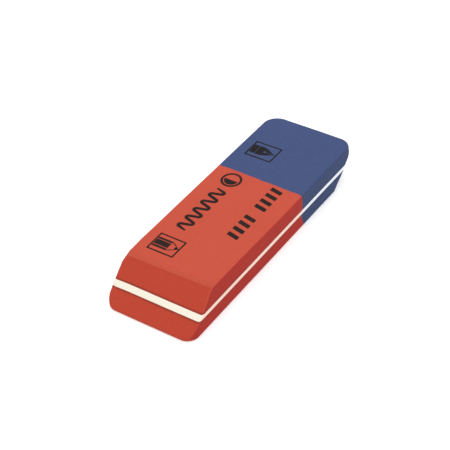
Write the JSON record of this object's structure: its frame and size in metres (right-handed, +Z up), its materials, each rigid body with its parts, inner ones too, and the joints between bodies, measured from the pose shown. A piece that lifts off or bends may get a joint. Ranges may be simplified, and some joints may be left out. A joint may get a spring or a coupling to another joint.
{
  "type": "rubber eraser",
  "caption": "Slanted block eraser of red and blue rubber, with a thin layer of white rubber through the middle.",
  "frame": {"origin": "middle of the underside's bounding box, on the surface the eraser lies on", "axes": "+X along the length towards the blue end, +Y across the width, +Z up through the layers"},
  "size_m": [0.0592, 0.02, 0.0078],
  "materials": {
    "red_rubber": "matte",
    "blue_rubber": "matte",
    "white_rubber": "matte",
    "print_ink": "matte"
  },
  "bodies": {
    "root": {"upper_red": "red_rubber", "upper_blue": "blue_rubber", "white_layer": "white_rubber", "lower_red": "red_rubber", "lower_blue": "blue_rubber"}
  },
  "joints": []
}
